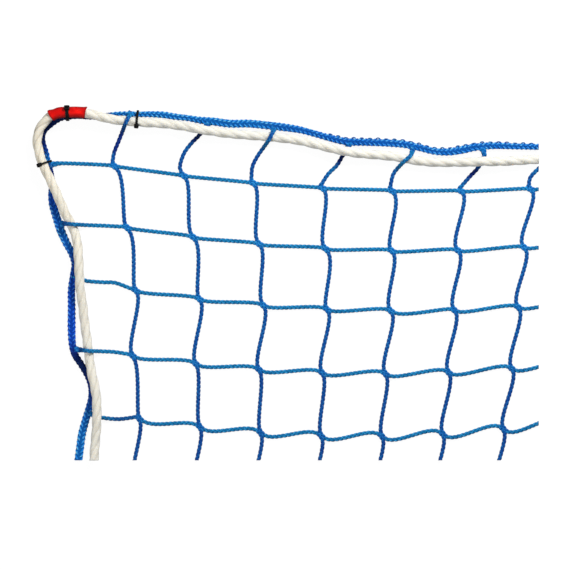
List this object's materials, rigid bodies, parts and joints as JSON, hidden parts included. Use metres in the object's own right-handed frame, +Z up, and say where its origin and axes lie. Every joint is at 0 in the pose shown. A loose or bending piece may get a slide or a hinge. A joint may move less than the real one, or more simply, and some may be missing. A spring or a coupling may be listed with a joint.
{
  "type": "fall arrest net",
  "caption": "Cut corner of a knotless fall arrest net with a braided edge cord, a rope threaded over and under its outer twines, a red corner sleeve and cable ties, lying flat.",
  "frame": {"origin": "on the floor the net lies on, under the middle of its bounding box", "axes": "+X along the upper edge towards the right cut, +Y along the side edge towards the corner, +Z up from the floor"},
  "size_m": [0.733, 0.5146, 0.0302],
  "materials": {
    "netting": "braided matt fibre",
    "border_rope": "laid fibre with a faint sheen",
    "sleeve": "glossy shrink tube",
    "tie": "black, slightly satin"
  },
  "bodies": {
    "root": {"netting": "netting", "border_rope": "border_rope", "sleeve": "sleeve", "tie_side": "tie", "tie_sleeve": "tie", "tie_top": "tie"}
  },
  "joints": []
}
